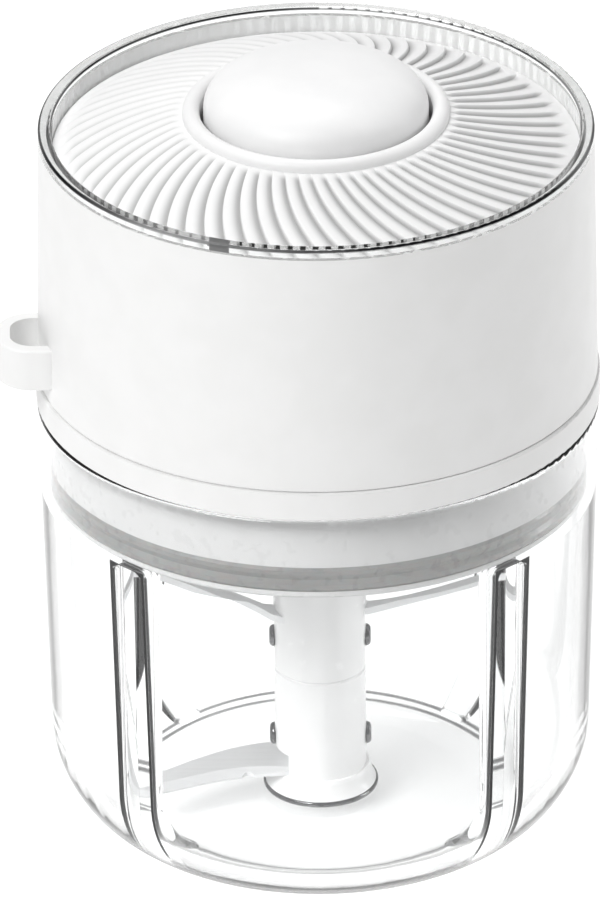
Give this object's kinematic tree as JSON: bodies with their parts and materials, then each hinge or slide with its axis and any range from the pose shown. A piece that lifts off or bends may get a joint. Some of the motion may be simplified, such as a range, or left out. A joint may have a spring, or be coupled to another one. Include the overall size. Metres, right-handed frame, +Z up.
{
  "type": "mini food processor",
  "caption": "Rechargeable mini food processor: clear ribbed bowl, two-level blade unit on a steel pin, and a white motor head with a domed push button, swirl deck, clear rim and lanyard loop.",
  "frame": {"origin": "centre of the bowl's flat underside, on the motor's axis", "axes": "+Z up along the motor's axis, -Y towards the front, lanyard loop on the -X side, charging socket on the +Y side"},
  "size_m": [0.0891, 0.0834, 0.1232],
  "materials": {
    "clear_plastic": "clear polished plastic",
    "white_shell": "fine satin moulded white",
    "white_button": "soft satin white",
    "white_deck": "satin moulded white",
    "seal_silicone": "translucent grey silicone",
    "cover_silicone": "white silicone",
    "hub_plastic": "gloss white",
    "bright_steel": "polished stainless steel",
    "blade_steel": "ground stainless steel",
    "spring_steel": "drawn wire",
    "zinc_steel": "zinc plated",
    "black_plastic": "matte black",
    "red_plastic": "matte red",
    "board_green": "solder mask",
    "grey_plastic": "moulded grey",
    "gear_nylon": "natural nylon",
    "brass_parts": "turned brass",
    "cell_wrap": "shrink wrapped cell",
    "motor_steel": "drawn steel can",
    "magnet_ferrite": "sintered ferrite"
  },
  "bodies": {
    "bowl": {"bowl": "clear_plastic", "bowl_pivot_pin": "bright_steel"},
    "head": {"bowl_plug": "white_shell", "seal_ring": "seal_silicone", "shoulder_ring": "white_shell", "motor_housing": "white_shell", "lanyard_loop": "white_shell", "clear_rim": "clear_plastic", "swirl_deck": "white_deck", "button_collar": "white_deck", "button_spring": "spring_steel", "push_switch": "black_plastic", "circuit_board": "board_green", "board_parts": "black_plastic", "board_screws": "zinc_steel", "charging_socket": "zinc_steel", "charge_board": "board_green", "chassis": "grey_plastic", "chassis_screws": "zinc_steel", "battery_cells": "cell_wrap", "motor_can": "motor_steel", "motor_magnets": "magnet_ferrite", "motor_end_cap": "black_plastic", "motor_screws": "zinc_steel", "ring_gear": "gear_nylon", "gearbox_cover": "grey_plastic", "output_bush": "brass_parts", "shaft_seal": "seal_silicone"},
    "button": {"button_cap": "white_button", "switch_plunger": "red_plastic"},
    "output": {"planet_carrier": "gear_nylon", "planet_pins": "bright_steel", "output_shaft": "bright_steel", "drive_coupler": "gear_nylon"},
    "rotor": {"motor_rotor": "motor_steel", "sun_pinion": "brass_parts"},
    "planet_1": {"planet_gear_1": "gear_nylon"},
    "planet_2": {"planet_gear_2": "gear_nylon"},
    "planet_3": {"planet_gear_3": "gear_nylon"},
    "blade_unit": {"blade_hub_lower": "hub_plastic", "blade_hub_upper": "hub_plastic", "hub_flange": "hub_plastic", "hub_foot_ring": "bright_steel", "lower_blade": "blade_steel", "upper_blade": "blade_steel", "blade_rivets": "bright_steel"},
    "charging_flap": {"socket_cover": "cover_silicone"}
  },
  "joints": [
    {"name": "head_lift", "type": "slide", "parent": "bowl", "child": "head", "axis": [0, 0, 1], "range_m": [0, 0.05]},
    {"name": "button_press", "type": "slide", "parent": "head", "child": "button", "axis": [0, 0, -1], "range_m": [0, 0.002], "stiffness_N_per_m": 700, "springref_m": -0.002, "deforming": ["button_spring"]},
    {"name": "output_spin", "type": "hinge", "parent": "head", "child": "output", "pos_m": [0, 0, 0.06], "axis": [0, 0, 1], "continuous": true},
    {"name": "rotor_spin", "type": "hinge", "parent": "head", "child": "rotor", "pos_m": [0, 0, 0.08], "axis": [0, 0, 1], "continuous": true},
    {"name": "planet_1_spin", "type": "hinge", "parent": "output", "child": "planet_1", "pos_m": [0.0081, 0, 0.067], "axis": [0, 0, 1], "continuous": true},
    {"name": "planet_2_spin", "type": "hinge", "parent": "output", "child": "planet_2", "pos_m": [-0.00405, 0.00702, 0.067], "axis": [0, 0, 1], "continuous": true},
    {"name": "planet_3_spin", "type": "hinge", "parent": "output", "child": "planet_3", "pos_m": [-0.00405, -0.00702, 0.067], "axis": [0, 0, 1], "continuous": true},
    {"name": "blade_spin", "type": "hinge", "parent": "bowl", "child": "blade_unit", "pos_m": [0, 0, 0.02], "axis": [0, 0, 1], "continuous": true},
    {"name": "flap_open", "type": "hinge", "parent": "head", "child": "charging_flap", "pos_m": [0, 0.0416, 0.0793], "axis": [-1, 0, 0], "range_deg": [0, 100]}
  ],
  "couplings": [
    {"joint": "output_spin", "follows": "rotor_spin", "ratio": 0.22222},
    {"joint": "planet_1_spin", "follows": "rotor_spin", "ratio": -0.62222},
    {"joint": "planet_2_spin", "follows": "rotor_spin", "ratio": -0.62222},
    {"joint": "planet_3_spin", "follows": "rotor_spin", "ratio": -0.62222},
    {"joint": "blade_spin", "follows": "rotor_spin", "ratio": 0.22222}
  ]
}
